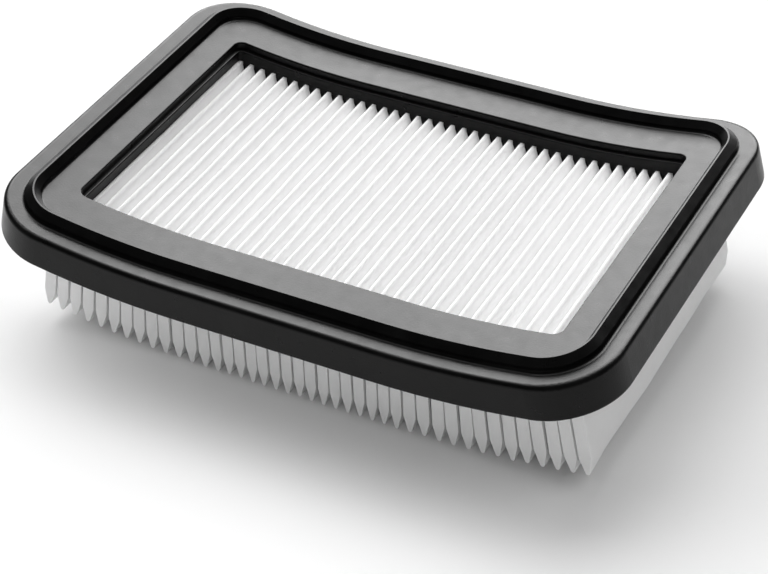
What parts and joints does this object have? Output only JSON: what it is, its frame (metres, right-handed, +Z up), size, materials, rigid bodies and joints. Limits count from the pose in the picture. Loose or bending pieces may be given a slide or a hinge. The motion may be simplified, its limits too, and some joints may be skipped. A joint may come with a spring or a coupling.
{
  "type": "flat pleated vacuum cleaner filter",
  "caption": "Flat pleated filter for a vacuum cleaner: a bowed black sealing frame with a raised rib round its top over a hanging pack of white V pleats.",
  "frame": {"origin": "middle of the part in plan, on the plane that the lowest pleat tips stand on", "axes": "+X along the frame's length, across the pleats; +Y along the pleats; +Z up, from the pleat tips to the sealing rib"},
  "size_m": [0.195, 0.1376, 0.0513],
  "materials": {
    "frame_rubber": "black moulded foam rubber with a satin skin",
    "filter_fleece": "white non-woven filter cloth, matt, with fine fibres"
  },
  "bodies": {
    "root": {"sealing_frame": "frame_rubber", "pleated_medium": "filter_fleece"}
  },
  "joints": []
}
